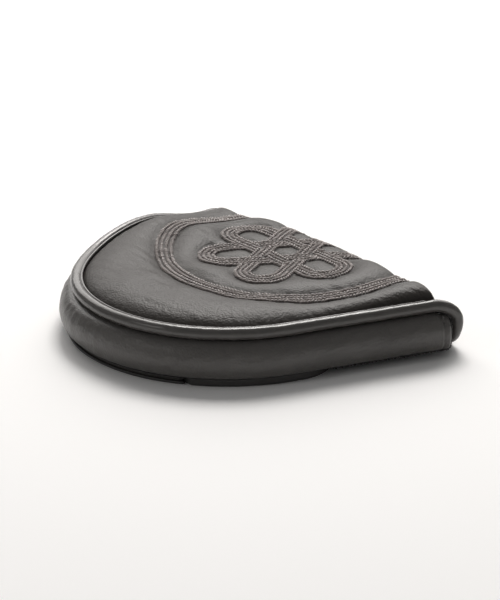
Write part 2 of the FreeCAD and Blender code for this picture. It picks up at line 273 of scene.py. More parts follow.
def swelling():
    """Padding pressed up between sewn lines: a taut skin on springy foam, held down at each seam."""
    xs = np.arange(-66, 66 + STEP, STEP)
    ys = np.arange(NOSE_Y - 4, LIP_Y + 5, STEP)
    x, y = np.meshgrid(xs, ys, indexing="ij")
    sewn = line_distance(x, y, ring_line(0.0, 160)) < BAND / 2
    for turn in LOOP_TURNS:
        sewn |= line_distance(x, y, loop_line(turn, 0.0, 120)) < BAND / 2
    free = (~sewn) & (seam_distance(x, y) > PIPE * 0.7)
    stiff = (STEP / PUFF_SPREAD) ** 2
    h = np.zeros(x.shape)
    for _ in range(900):
        around = np.roll(h, 1, 0) + np.roll(h, -1, 0) + np.roll(h, 1, 1) + np.roll(h, -1, 1)
        h = np.where(free, (around + stiff * PUFF) / (4 + stiff), 0)
    for _ in range(2):
        h = (h * 2 + (np.roll(h, 1, 0) + np.roll(h, -1, 0) + np.roll(h, 1, 1) + np.roll(h, -1, 1)) / 2) / 4
    return Field(h, xs[0], ys[0], STEP)


PUFFS = swelling()
EDGE_RISE = 1.9
DOME_RISE = 2.8
DOME_SPREAD = 10.0
CREST_BLEND = 0.10
CREST_SHIFT = 3.0           # how far past the corner line the lip begins to fall


def ease(t):
    t = np.clip(t, 0, 1)
    return t * t * (3 - 2 * t)


def mouth_lift(x, y):
    """The top stands fuller towards the mouth, most of all along its sides."""
    side = np.exp(-np.maximum(edge_distance(x, y), 0) / 12.0)
    return (1.1 + 1.9 * side) * ease((y - CORNER_Y + 42) / 42)


def base_height(x, y):
    """The dome and its front lip, without swelling."""
    inside = np.maximum(edge_distance(x, y), -1.5)
    dome = SEAM_Z + EDGE_RISE + DOME_RISE * (1 - np.exp(-inside / DOME_SPREAD)) + mouth_lift(x, y)
    along = (y - CORNER_Y - CREST_SHIFT) / (lip_line(x) - CREST_SHIFT)
    fall = (along + np.sqrt(along ** 2 + CREST_BLEND ** 2)) / 2
    return dome - fall * (dome - LIP_Z)


def top_height(x, y):
    """Outer leather of the top."""
    inside = seam_distance(x, y)
    h = base_height(x, y) + PUFFS(x, y)
    tuck = 2.0 + 0.8 * mouth_lift(x, y)
    h = h - tuck * np.exp(-np.maximum(inside - PIPE * 0.6, 0) / 1.3)
    plan = np.stack([x, y], -1)
    creases = waves(plan * [1.0, 2.4], 11.0, 3) * 0.05 + waves(plan, 26.0, 4) * 0.14
    return h + creases * np.clip(inside / 12, 0, 1)


def pucker(s, inside):
    """Small gathers that run in from the sewn edge."""
    line = np.stack([s + inside * 0.5, inside * 0.12], -1)
    long = 0.050 * waves(line, 2.6, 9, 18) * np.exp(-np.abs(inside - 4.0) / 3.5)
    short = 0.085 * waves(np.stack([s, inside * 0.1], -1), 1.7, 10, 18) * np.exp(-np.abs(inside - 1.6) / 0.8)
    return long + short


# ---------------------------------------------------------------- mesh helpers
def sagged(points):
    """Soft goods are uneven: the toe side stands full at its middle and hangs low at its mouth corner."""
    points = np.array(points, float)
    toe = ease((-points[..., 0] - 12) / 40) * ease((points[..., 2] - 2.5) / 4)
    corner = toe * ease((points[..., 1] - CORNER_Y + 30) / 30)
    full = toe * np.exp(-((points[..., 1] + 6) / 21) ** 2)
    points[..., 2] *= 1 - SAG * corner + TOE_FULL * full
    points[..., 0] -= TOE_OUT * full
    return points


def new_piece(name, verts, faces, material, edges=()):
    mesh = bpy.data.meshes.new(name)
    mesh.from_pydata((sagged(verts) * MM).tolist(), list(edges), faces)
    mesh.update()
    mesh.validate()
    mesh.polygons.foreach_set("use_smooth", [True] * len(mesh.polygons))
    mesh.materials.append(material)
    return shown(name, mesh)


def shown(name, data):
    """A new object in the scene, at the origin."""
    obj = bpy.data.objects.new(name, data)
    bpy.context.scene.collection.objects.link(obj)
    return obj


def grid_faces(rows, columns, wrap_rows=False, wrap_columns=False, start=0):
    """Quads over a grid of points stored row by row."""
    i = np.arange(rows if wrap_rows else rows - 1)
    j = np.arange(columns if wrap_columns else columns - 1)
    i, j = np.meshgrid(i, j, indexing="ij")
    a = i * columns + j
    b = i * columns + (j + 1) % columns
    c = ((i + 1) % rows) * columns + (j + 1) % columns
    d = ((i + 1) % rows) * columns + j
    return (np.stack([a, b, c, d], -1).reshape(-1, 4) + start).tolist()


def fix_normals(obj):
    bm = bmesh.new()
    bm.from_mesh(obj.data)
    bmesh.ops.remove_doubles(bm, verts=bm.verts, dist=1e-6)
    bmesh.ops.recalc_face_normals(bm, faces=bm.faces)
    bm.to_mesh(obj.data)
    bm.free()
    obj.data.polygons.foreach_set("use_smooth", [True] * len(obj.data.polygons))
    return obj


def finish_piece(obj, body, slot, *nodes):
    fix_normals(obj)
    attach(obj, body)
    if nodes:
        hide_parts(*nodes)


# ---------------------------------------------------------------- shared shader groups
def group_socket(group, name, kind, output=False, value=None):
    direction = "OUTPUT" if output else "INPUT"
    socket = group.interface.new_socket(name=name, in_out=direction, socket_type=kind)
    if value is not None:
        socket.default_value = value
    return socket


def group_ends(tree, inputs, outputs):
    """Number inputs and number outputs of a new group; returns the two rows of sockets."""
    for name, value in inputs.items():
        group_socket(tree, name, "NodeSocketFloat", value=value)
    for name in outputs:
        group_socket(tree, name, "NodeSocketFloat", output=True)
    return tree.nodes.new("NodeGroupInput").outputs, tree.nodes.new("NodeGroupOutput").inputs


class Graph:
    """A node tree with short ways to add, set and join its nodes."""

    def __init__(self, tree):
        self.nodes, self.links = tree.nodes, tree.links

    def feed(self, socket, value):
        """Join another node's socket to this one, or set its value."""
        if isinstance(value, bpy.types.NodeSocket):
            self.links.new(value, socket)
        else:
            socket.default_value = value

    def add(self, kind, feeds=None, **settings):
        """A new node with these properties and inputs."""
        node = self.nodes.new(kind)
        for name, value in settings.items():
            setattr(node, name, value)
        for key, value in (feeds or {}).items():
            self.feed(node.inputs[key], value)
        return node

    def math(self, operation, a, b):
        return self.add("ShaderNodeMath", {0: a, 1: b}, operation=operation).outputs[0]

    def noise(self, place, scale, detail, roughness):
        feeds = {"Vector": place, "Scale": scale, "Detail": detail, "Roughness": roughness}
        return self.add("ShaderNodeTexNoise", feeds).outputs["Fac"]

    def place(self):
        return self.add("ShaderNodeTexCoord").outputs["Object"]


def grain_group():
    """Leather grain: pebbled cells, fine pores and soft creases. Puts out a height and a tone."""
    tree = bpy.data.node_groups.new("leather_grain", "ShaderNodeTree")
    inputs = {"Cells per metre": 1500.0, "Pebble": 0.6, "Pores": 0.3, "Creases": 0.5}
    given, result = group_ends(tree, inputs, ("Height", "Tone"))
    g = Graph(tree)
    place = g.place()
    bend = g.add("ShaderNodeTexNoise", {"Vector": place, "Scale": 420.0}).outputs["Color"]
    bent = g.add("ShaderNodeMix", {"Factor": 0.0008, "A": place, "B": bend}, data_type="VECTOR")
    cells = g.add("ShaderNodeTexVoronoi", {"Vector": bent.outputs["Result"],
                                           "Scale": given["Cells per metre"],
                                           "Smoothness": 0.35}, feature="SMOOTH_F1")
    pebble = g.math("MULTIPLY", g.math("SUBTRACT", 1.0, cells.outputs["Distance"]), given["Pebble"])
    fine = g.math("MULTIPLY", given["Cells per metre"], 2.7)
    pores = g.math("MULTIPLY", g.noise(place, fine, 3.0, 0.6), given["Pores"])
    crease = g.math("MULTIPLY", g.noise(place, 260.0, 4.0, 0.62), given["Creases"])
    patch = g.math("MULTIPLY", g.noise(place, 38.0, 3.0, 0.6), 0.6)
    g.feed(result["Height"], g.math("ADD", g.math("ADD", pebble, pores), crease))
    g.feed(result["Tone"], g.math("ADD", patch, g.math("MULTIPLY", pores, 0.5)))
    return tree


def fibre_group():
    """Twisted thread or pile: fine strands and soft clumps. Puts out a height and a tone."""
    tree = bpy.data.node_groups.new("fibre_strands", "ShaderNodeTree")
    inputs = {"Strands per metre": 5000.0, "Clumps per metre": 600.0}
    given, result = group_ends(tree, inputs, ("Height", "Tone"))
    g = Graph(tree)
    place = g.place()
    strands = g.noise(place, given["Strands per metre"], 3.0, 0.7)
    clumps = g.noise(place, given["Clumps per metre"], 2.0, 0.5)
    g.feed(result["Height"], g.math("ADD", strands, g.math("MULTIPLY", clumps, 0.6)))
    g.feed(result["Tone"], g.math("ADD", g.math("MULTIPLY", strands, 0.5), g.math("MULTIPLY", clumps, 0.5)))
    return tree


GRAIN = grain_group()
FIBRE = fibre_group()


def start_material(name):
    material = bpy.data.materials.new(name)
    material.use_nodes = True
    g = Graph(material.node_tree)
    g.nodes.clear()
    shader = g.add("ShaderNodeBsdfPrincipled")
    g.add("ShaderNodeOutputMaterial", {"Surface": shader.outputs["BSDF"]})
    return material, g, shader


def coat(g, shader, group, dark, light, strength, depth):
    """Colour and relief from a shared group's tone and height."""
    tones = {"Factor": group.outputs["Tone"], "A": (*dark, 1), "B": (*light, 1)}
    g.feed(shader.inputs["Base Color"], g.add("ShaderNodeMix", tones, data_type="RGBA").outputs["Result"])
    relief = {"Strength": strength, "Distance": depth, "Height": group.outputs["Height"]}
    g.feed(shader.inputs["Normal"], g.add("ShaderNodeBump", relief).outputs["Normal"])


def rough_between(g, shader, tone, smooth, rough):
    spread = g.add("ShaderNodeMapRange", {"Value": tone, "To Min": smooth, "To Max": rough})
    g.feed(shader.inputs["Roughness"], spread.outputs["Result"])


def leather(name, dark, light, roughness, cells, pebble, creases=0.5, depth=0.00006, gloss=0.5):
    material, g, shader = start_material(name)
    grain = g.add("ShaderNodeGroup", node_tree=GRAIN)
    for key, value in (("Cells per metre", cells), ("Pebble", pebble), ("Creases", creases)):
        grain.inputs[key].default_value = value
    coat(g, shader, grain, dark, light, 0.55, depth)
    rough_between(g, shader, grain.outputs["Tone"], *roughness)
    shader.inputs["Specular IOR Level"].default_value = gloss
    return material


def fibre(name, dark, light, roughness=0.7, strands=5000.0, clumps=600.0, depth=0.0001, sheen=0.3):
    material, g, shader = start_material(name)
    group = g.add("ShaderNodeGroup", node_tree=FIBRE)
    group.inputs["Strands per metre"].default_value = strands
    group.inputs["Clumps per metre"].default_value = clumps
    coat(g, shader, group, dark, light, 0.8, depth)
    for key, value in (("Roughness", roughness), ("Sheen Weight", sheen), ("Sheen Roughness", 0.4)):
        shader.inputs[key].default_value = value
    return material


def metal(name, colour, roughness):
    material, g, shader = start_material(name)
    shader.inputs["Base Color"].default_value = (*colour, 1)
    shader.inputs["Metallic"].default_value = 1.0
    rough_between(g, shader, g.noise(g.place(), 900.0, 4.0, 0.6), roughness, roughness + 0.2)
    return material


# The top and the wall are one leather in two copies. The wall's copy is painted lighter to make up for the
# shade it stands in, and the top's copy is painted darker against the bright sheen it catches.
TOP_LEATHER = leather("top_leather", (0.034, 0.0306, 0.0280), (0.053, 0.0478, 0.0440), (0.34, 0.50),
                      1400.0, 0.8, 1.3, 0.00024, 0.16)
WALL_LEATHER_PAINTED_LIGHTER = leather("wall_leather", (0.066, 0.0622, 0.0588), (0.099, 0.0935, 0.0885), (0.30, 0.46),
                       1300.0, 0.8, 0.8, 0.00022)
PIPE_LEATHER = leather("piping_leather", (0.058, 0.0545, 0.0517), (0.084, 0.0790, 0.0750), (0.20, 0.34),
                       1900.0, 0.35, 0.5, 0.00006)
FLAP_LEATHER = leather("flap_leather", (0.024, 0.0228, 0.0218), (0.040, 0.0382, 0.0366), (0.42, 0.58),
                       1300.0, 0.8)
THREAD = fibre("embroidery_thread", (0.13, 0.112, 0.106), (0.46, 0.405, 0.388), 0.45, 4200.0, 900.0,
               0.00008, 0.3)
THREAD_BED = fibre("thread_bed", (0.030, 0.026, 0.025), (0.080, 0.070, 0.066), 0.7, 3600.0, 700.0)
SEWING = fibre("sewing_thread", (0.022, 0.021, 0.020), (0.06, 0.057, 0.055), 0.5, 4200.0, 900.0, 0.00005)
FLEECE = fibre("sherpa_fleece", (0.005, 0.005, 0.005), (0.022, 0.021, 0.020), 0.9, 2600.0, 420.0, 0.0002,
               0.25)
CLOTH = fibre("backing_cloth", (0.020, 0.020, 0.020), (0.055, 0.054, 0.053), 0.85, 3000.0, 300.0)
BOARD = fibre("fibre_board", (0.03, 0.028, 0.026), (0.07, 0.066, 0.06), 0.8, 1800.0, 300.0)
FILLER = fibre("filler_cord", (0.40, 0.37, 0.33), (0.62, 0.58, 0.52), 0.8, 3000.0, 500.0)
MAGNET = metal("magnet_nickel", (0.60, 0.59, 0.57), 0.22)


# ---------------------------------------------------------------- the quilted top
def polar(count, rings, out):
    """Plan points in rings from the middle to the outline, with the distance run along the rim."""
    rim, along = outline(count, out)
    share = np.arange(1, rings + 1) / rings
    points = CENTRE + (rim - CENTRE)[None] * share[:, None, None]
    return points[..., 0], points[..., 1], along


def fan(count, centre, first, flip=False):
    """Triangles from a middle vertex to the first ring."""
    faces = []
    for k in range(count):
        a, b = first + k, first + (k + 1) % count
        faces.append((centre, b, a) if flip else (centre, a, b))
    return faces


def stacked(layers):
    """Join rings of points, top middle to bottom middle, into one closed skin."""
    count = layers[0].shape[1]
    verts = [layers[0].mean(1)[:1]]
    verts += [layer.reshape(-1, 3) for layer in layers]
    verts.append(layers[-1][-1:].mean(1))
    rows = sum(layer.shape[0] for layer in layers)
    faces = fan(count, 0, 1)
    faces += [f[::-1] for f in grid_faces(rows, count, wrap_columns=True, start=1)]
    faces += fan(count, rows * count + 1, 1 + (rows - 1) * count, flip=True)
    return np.vstack(verts), faces


def make_top():
    count, rings = 640, 92
    x, y, along = polar(count, rings, -0.9)
    inside = seam_distance(x, y)
    z = top_height(x, y) + pucker(np.broadcast_to(along, x.shape), inside)
    upper = np.stack([x, y, z], -1)
    x, y, _ = polar(count, 20, -PIPE - 0.3)
    under = base_height(x, y) - SKIN * np.clip(seam_distance(x, y) / 6.0, 0.35, 1)
    lower = np.stack([x, y, np.maximum(under, 0.8)], -1)[::-1]
    middle = upper.mean(1)[:1]
    verts, faces = stacked([upper, lower])
    verts[0] = [CENTRE[0], CENTRE[1], middle[0][2]]
    top = new_piece("quilted_top", verts, faces, TOP_LEATHER)
    finish_piece(top, "cover", "outer_leather", "top_panel", "top_foam", "top_backing")


# ---------------------------------------------------------------- piping
def piping_points():
    s = np.linspace(0, PATH, 430)
    plan, _ = u_path(s)
    upper = np.column_stack([plan, np.full(len(s), PIPE_Z)])
    forward = np.array([math.sin(FLARE), math.cos(FLARE), 0.0])
    up = np.array([0.0, 0.0, 1.0])
    inward = np.array([-math.cos(FOOT_ANGLE), math.sin(FOOT_ANGLE), 0.0])
    turn = np.linspace(0, math.pi / 2, 24)[:, None]
    corner = upper[-1]
    down = corner + forward * TURN_DOWN * BELLY * np.sin(turn) - up * TURN_DOWN * (1 - np.cos(turn))
    foot = down[-1] + inward * TURN_IN * (1 - np.cos(turn)) - up * TURN_IN * np.sin(turn)
    foot -= forward * TURN_DOWN * (BELLY - 1) * (1 - np.cos(turn))
    start = math.atan2(FOOT_Y - LIP_CENTRE, FOOT_X)
    angle = np.linspace(start, math.pi - start, 260)
    lip = np.stack([LIP_RADIUS * np.cos(angle), LIP_CENTRE + LIP_RADIUS * np.sin(angle),
                    np.full(len(angle), LIP_Z)], -1)
    heel = np.vstack([down[1:], foot[1:]])
    toe = heel[::-1] * [-1, 1, 1]
    return np.vstack([upper, heel, lip[1:-1], toe[:-1]]), heel


def tube(points, radius, sides=22, ripple=None):
    """A closed tube round a closed path, as a grid of points."""
    tangent = np.roll(points, -1, 0) - np.roll(points, 1, 0)
    tangent /= np.linalg.norm(tangent, axis=1)[:, None]
    across = np.cross(tangent[0], [0, 0, 1.0])
    frames = []
    for t in tangent:
        across = across - t * (across @ t)
        across /= np.linalg.norm(across)
        frames.append((across, np.cross(across, t)))
    frames = np.array(frames)
    angle = np.linspace(0, 2 * math.pi, sides, endpoint=False)
    cosine, sine = np.cos(angle)[None, :, None], np.sin(angle)[None, :, None]
    ring = cosine * frames[:, None, 0] + sine * frames[:, None, 1]
    size = np.full((len(points), sides), radius)
    if ripple is not None:
        size = size + ripple(points[:, None] + ring * radius)
    return points[:, None] + ring * size[..., None]


def make_piping():
    points, _ = piping_points()
    grid = tube(points, PIPE, 26, lambda p: 0.025 * waves(p, 8.0, 21) + 0.015 * waves(p, 2.2, 22))
    rows, columns = grid.shape[:2]
    piping = new_piece("piping", grid.reshape(-1, 3), grid_faces(rows, columns, True, True), PIPE_LEATHER)
    finish_piece(piping, "cover", "piping_leather", "piping_cover", "piping_flange")
    grid = tube(points, CORD - 0.1, 10)
    cord = new_piece("filler_cord", grid.reshape(-1, 3), grid_faces(rows, 10, True, True), FILLER)
    finish_piece(cord, "cover", "piping_cord", "piping_cord")
    angle = np.linspace(0, 2 * math.pi, 14, endpoint=False)
    fold = np.stack([0.42 * np.cos(angle) - 1.8, 0.42 * np.sin(angle) + PIPE_Z + 1.2], -1)
    s = np.linspace(1.0, PATH - 1.0, 420)
    fold_piece = swept_piece("seam_fold", sweep(fold, s), PIPE_LEATHER)
    finish_piece(fold_piece, "cover", "piping_leather")


# ---------------------------------------------------------------- side wall
def smooth_closed(points, count):
    """A closed smooth curve through given points (Catmull-Rom), evenly spaced."""
    p = np.asarray(points, float)
    t = np.linspace(0, 1, 16, endpoint=False)[:, None]
    curve = []
    for k in range(len(p)):
        a, b, c, d = p[k - 1], p[k], p[(k + 1) % len(p)], p[(k + 2) % len(p)]
        curve.append(0.5 * (2 * b + (c - a) * t + (2 * a - 5 * b + 4 * c - d) * t ** 2
                            + (3 * b - a - 3 * c + d) * t ** 3))
    curve = np.vstack(curve)
    closed = np.vstack([curve, curve[:1]])
    length = np.concatenate([[0], np.cumsum(np.linalg.norm(np.diff(closed, axis=0), axis=1))])
    even = np.linspace(0, length[-1], count, endpoint=False)
    return np.stack([np.interp(even, length, closed[:, k]) for k in range(p.shape[1])], -1)


def wall_profile(count=64):
    """The padded wall's section as (outward, up): groove, bulge, lower seam, turned-in edge, inner face."""
    top, foot = SEAM_Z - 0.1, WALL_LOW
    height = top - foot
    points = [(-1.0, top - 0.1), (1.0, top + 0.05), (3.2, top - 0.9), (4.9, top - 0.26 * height),
              (5.7, top - 0.50 * height), (5.6, top - 0.74 * height), (5.0, foot + 0.9), (4.3, foot - 0.1),
              (2.9, foot + 0.1), (2.0, foot + 1.2), (2.6, foot + 0.45 * height), (0.6, top - 0.2 * height),
              (-1.4, top - 0.9)]
    return smooth_closed(points, count)


def sweep(profile, s, shape=None):
    """Carry a section (outward, up) along the side path; past the corners its top falls with the piping."""
    out = np.broadcast_to(profile[None, :, 0], (len(s), len(profile)))
    up = np.broadcast_to(profile[None, :, 1], (len(s), len(profile)))
    if shape is not None:
        out, up = shape(out, up, s[:, None])
    past = np.maximum(np.maximum(-s, s - PATH), 0)[:, None] / (TURN_DOWN * BELLY)
    drop = TURN_DOWN * (1 - np.sqrt(1 - np.minimum(past, 0.9) ** 2)) + 0.6 * ease(past * 3)
    up = up - drop * np.clip((up - WALL_LOW) / (SEAM_Z - WALL_LOW), 0, 1)
    plan, _ = u_path(np.broadcast_to(s[:, None], out.shape), out)
    return np.concatenate([plan, up[..., None]], -1)


def swept_piece(name, grid, material):
    """A closed swept solid: a wrapped grid with a cap of triangles at each end."""
    rows, columns = grid.shape[:2]
    verts = np.vstack([grid.reshape(-1, 3), grid[0].mean(0)[None], grid[-1].mean(0)[None]])
    faces = grid_faces(rows, columns, False, True)
    faces += fan(columns, rows * columns, 0)
    faces += fan(columns, rows * columns + 1, (rows - 1) * columns, flip=True)
    return new_piece(name, verts, faces, material)


def wall_shape(out, up, s):
    """Gathers at both seams and the slow unevenness of stuffed leather."""
    middle = (SEAM_Z + WALL_LOW) / 2
    half = (SEAM_Z - WALL_LOW) / 2
    near_top = np.exp(-np.abs(up - SEAM_Z + 1.5) / 2.0)
    near_foot = np.exp(-np.abs(up - WALL_LOW - 1.0) / 1.8)
    line = np.stack([s + 0 * up, up * 0.25], -1)
    gathers = 0.05 * waves(line, 3.0, 31, 18) * near_top + 0.05 * waves(line, 4.4, 32, 18) * near_foot
    slow = 0.16 * waves(np.stack([s + 0 * up, up * 2.0], -1), 38.0, 33)
    fine = 0.035 * waves(np.stack([s + 0 * up, up * 1.6], -1), 5.0, 34)
    outer = np.clip((out + 0.5) / 3.0, 0, 1)
    belly = 1 - ((up - middle) / half) ** 2
    return out + (gathers + fine + slow * belly) * outer, up


def make_wall():
    s = np.linspace(WALL_START, PATH - WALL_START, 470)
    wall = swept_piece("side_wall_padded", sweep(wall_profile(), s, wall_shape), WALL_LEATHER_PAINTED_LIGHTER)
    finish_piece(wall, "cover", "outer_leather", "side_wall", "wall_foam")


# ---------------------------------------------------------------- hems, seams and linings
def make_hem(name, node, start, end):
    """The wall's folded end: flatter than the padded part and rounded where it turns back."""
    s = np.linspace(start, end, 26)
    fold = start if abs(start - PATH / 2) > abs(end - PATH / 2) else end
    profile = wall_profile()
    middle = profile.mean(0)

    def shape(out, up, place):
        near = np.abs(place - fold)
        size = np.sqrt(np.clip(1 - (1 - np.minimum(near, 1.1) / 1.1) ** 2, 0.02, 1))
        slack = 0.93 - 0.10 * np.exp(-((near - HEM + 0.5) / 0.5) ** 2)
        out = middle[0] + (out - middle[0]) * (0.35 + 0.65 * size) * slack
        return out, middle[1] + (up - middle[1]) * (0.9 + 0.1 * size)

    hem = swept_piece(name, sweep(profile, s, shape), WALL_LEATHER_PAINTED_LIGHTER)
    finish_piece(hem, "cover", "outer_leather", node)


def make_wall_lining():
    profile = smooth_closed([(-2.4, SEAM_Z - 1.6), (0.4, SEAM_Z - 2.6), (1.7, SEAM_Z - 6.0),
                             (1.6, WALL_LOW + 2.6), (2.2, WALL_LOW + 0.2), (0.9, WALL_LOW - 0.4),
                             (-0.6, WALL_LOW + 1.4), (-0.8, SEAM_Z - 6.0), (-2.6, SEAM_Z - 3.2)], 44)

    def shape(out, up, place):
        line = np.stack([place + 0 * up, up, out], -1)
        return out - 0.45 * waves(line, 3.6, 41) * (out < 1.0), up + 0.3 * waves(line, 3.0, 42)

    s = np.linspace(WALL_BACK - 0.7, PATH - WALL_BACK + 0.7, 540)
    lining = swept_piece("wall_fleece", sweep(profile, s, shape), FLEECE)
    finish_piece(lining, "cover", "fleece_lining", "wall_lining")


def make_lower_seam():
    angle = np.linspace(0, 2 * math.pi, 12, endpoint=False)
    roll = np.stack([0.5 * np.cos(angle) + 3.5, 0.42 * np.sin(angle) + WALL_LOW], -1)
    s = np.linspace(WALL_BACK + 0.5, PATH - WALL_BACK - 0.5, 420)
    seam = swept_piece("lower_seam", sweep(roll, s), FLAP_LEATHER)
    finish_piece(seam, "cover", "outer_leather", "lower_welt")


def make_top_lining():
    count, rings = 420, 44
    x, y, _ = polar(count, rings, -3.2)
    roof = np.maximum(base_height(x, y) - SKIN - 0.4, 1.6)
    upper = np.stack([x, y, roof], -1)
    plan = np.stack([x, y], -1)
    pile = 2.4 + 0.5 * waves(plan, 4.0, 51) + 0.3 * waves(plan, 2.2, 52)
    pile = pile * np.clip(seam_distance(x, y) / 5 + 0.3, 0, 1)
    lower = np.stack([x, y, np.maximum(roof - pile, 0.5)], -1)[::-1]
    verts, faces = stacked([upper, lower])
    lining = new_piece("top_fleece", verts, faces, FLEECE)
    finish_piece(lining, "cover", "fleece_lining", "top_lining")


def make_mouth_fleece():
    """Pile that closes the corner between each wall end and the lip's falling edge."""
    _, leg = piping_points()
    plan, normal = u_path(np.full(len(leg), PATH - WALL_BACK - 0.2), np.full(len(leg), -0.4))
    height = np.clip(leg[:, 2] - 0.8, WALL_LOW, SEAM_Z - 2.0)
    end = np.column_stack([plan, height])
    out = np.append(normal[0], 0.0)
    share = np.linspace(0.0, 1.0, 18)[None, :, None]
    middle = (leg - out * 0.9)[:, None] * (1 - share) + end[:, None] * share
    lump = 0.10 * waves(middle, 2.6, 55)[..., None]
    outer = middle + out * (0.5 + lump)
    inner = middle - out * (1.4 - lump)
    grid = np.concatenate([outer, inner[:, ::-1]], 1)
    for name, side in (("mouth_fleece_heel", 1), ("mouth_fleece_toe", -1)):
        piece = swept_piece(name, grid * [side, 1, 1], FLEECE)
        finish_piece(piece, "cover", "fleece_lining")


# ---------------------------------------------------------------- flap and rear underside
def rounded(a, b, radius):
    """Inner distance to the edge of two shapes' overlap, its corner rounded."""
    u, v = np.maximum(radius - a, 0), np.maximum(radius - b, 0)
    return np.maximum(np.minimum(a, b), radius) - np.hypot(u, v)


FLAP_FRONT_Y = CORNER_Y + FLAP_FRONT
FLAP_SIDE_X = (NOSE_RADIUS + WALL_SPLAY + (FLAP_FRONT_Y - NOSE_CENTRE) * math.sin(FLARE)) / math.cos(FLARE)
TONGUE_RADIUS = (FLAP_SIDE_X ** 2 + FLAP_TONGUE ** 2) / (2 * FLAP_TONGUE)


def flap_inside(x, y):
    front = TONGUE_RADIUS - np.hypot(x, y - FLAP_FRONT_Y - FLAP_TONGUE + TONGUE_RADIUS)
    body = rounded(edge_distance(x, y) + WALL_SPLAY, front, FLAP_CORNER)
    return rounded(body, y - HINGE_Y - 0.3, 1.0)


def rear_inside(x, y):
    reach = NOSE_Y - low("bottom_rear_panel", 1)
    return rounded(edge_distance(x, y) + reach, HINGE_Y - 0.3 - y, 1.0)


def plate(name, rim, centre, low_z, high_z, material, lump, length, seed, rings):
    """A flat soft layer with rounded edges and a slightly uneven face."""
    share = np.linspace(0, 1, rings + 1)[1:] ** 0.7
    points = centre + (rim - centre)[None] * share[:, None, None]
    x, y = points[..., 0], points[..., 1]
    gap = np.linalg.norm(rim - centre, axis=1)[None] * (1 - share)[:, None]
    half = (high_z - low_z) / 2
    round_off = np.sqrt(np.clip(1 - (1 - np.minimum(gap, half) / half) ** 2, 0, 1))
    uneven = lump * waves(np.stack([x, y], -1), length, seed) * np.clip(gap / 3, 0, 1)
    upper = np.stack([x, y, low_z + half + half * round_off + uneven], -1)
    lower = np.stack([x, y, low_z + half - half * round_off + uneven], -1)[:-1][::-1]
    verts, faces = stacked([upper, lower])
    return new_piece(name, verts, faces, material)


def edge_roll(name, distance, centre, inset, profile, material, count=520):
    """A bound edge: a section carried round a plan line at an inset."""
    line = edge_of(distance, centre, count, inset)
    ahead = np.roll(line, -1, 0) - np.roll(line, 1, 0)
    ahead /= np.linalg.norm(ahead, axis=1)[:, None]
    normal = np.stack([ahead[:, 1], -ahead[:, 0]], -1)
    plan = line[:, None] + normal[:, None] * profile[None, :, :1]
    grid = np.concatenate([plan, np.broadcast_to(profile[None, :, 1:], plan.shape[:2] + (1,))], -1)
    faces = grid_faces(count, len(profile), True, True)
    return new_piece(name, grid.reshape(-1, 3), faces, material)


LEATHER_TOP = 1.0           # upper face of the underside's leather
FLAP_CENTRE = np.array([0.0, -16.0])
REAR_CENTRE = np.array([0.0, HINGE_Y - 5.0])


def lay_plates(shape, body, plates):
    """Flat layers cut to one outline, given as its rim and its centre."""
    for name, lower, upper, material, lump, length, seed, rings, slot, node in plates:
        layer = plate(name, *shape, lower, upper, material, lump, length, seed, rings)
        finish_piece(layer, body, slot, node)


# In both: name, lower and upper face, material, unevenness, its length, seed, rings, slot, node
def make_flap():
    rim = edge_of(flap_inside, FLAP_CENTRE, 520, 0.9)
    lay_plates((rim, FLAP_CENTRE), "flap", (
        ("flap_leather", 0.12, LEATHER_TOP, FLAP_LEATHER, 0.03, 24.0, 61, 40,
         "outer_leather", "flap_panel"),
        ("flap_fleece", 2.02, FLAP_TOP + 0.15, FLEECE, 0.10, 3.2, 62, 60,
         "fleece_lining", "flap_lining")))
    top = FLAP_TOP
    roll = smooth_closed([(0.62, 0.5), (0.66, top / 2), (0.60, top - 0.45), (0.1, top), (-0.5, top - 0.3),
                          (-0.6, top / 2), (-0.5, 0.3), (0.1, 0.0)], 24)
    binding = edge_roll("flap_binding_soft", flap_inside, FLAP_CENTRE, 0.6, roll, FLAP_LEATHER)
    finish_piece(binding, "flap", "outer_leather", "flap_binding")


def make_rear_underside():
    rim = edge_of(rear_inside, REAR_CENTRE, 360, 0.0)
    lay_plates((rim, REAR_CENTRE), "cover", (
        ("rear_leather", 0.08, LEATHER_TOP, FLAP_LEATHER, 0.02, 20.0, 63, 40,
         "outer_leather", "bottom_rear_panel"),
        ("rear_fleece", 2.04, FLAP_TOP + 0.1, FLEECE, 0.12, 3.2, 64, 40,
         "fleece_lining", "bottom_rear_lining")))


def make_hinge_web():
    """The strip that joins the flap to the fixed underside."""
    section = smooth_closed([(-1.4, 1.35), (-1.0, 1.12), (0.0, 1.08), (1.0, 1.12), (1.4, 1.35), (1.0, 1.7),
                             (0.0, 1.76), (-1.0, 1.7)], 36)
    x = np.linspace(-31, 31, 60)
    grid = np.zeros((len(x), len(section), 3))
    grid[..., 0] = x[:, None]
    grid[..., 1] = HINGE_Y + section[None, :, 0]
    grid[..., 2] = section[None, :, 1]
    web = fix_normals(swept_piece("hinge_web", grid, CLOTH))
    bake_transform(web)


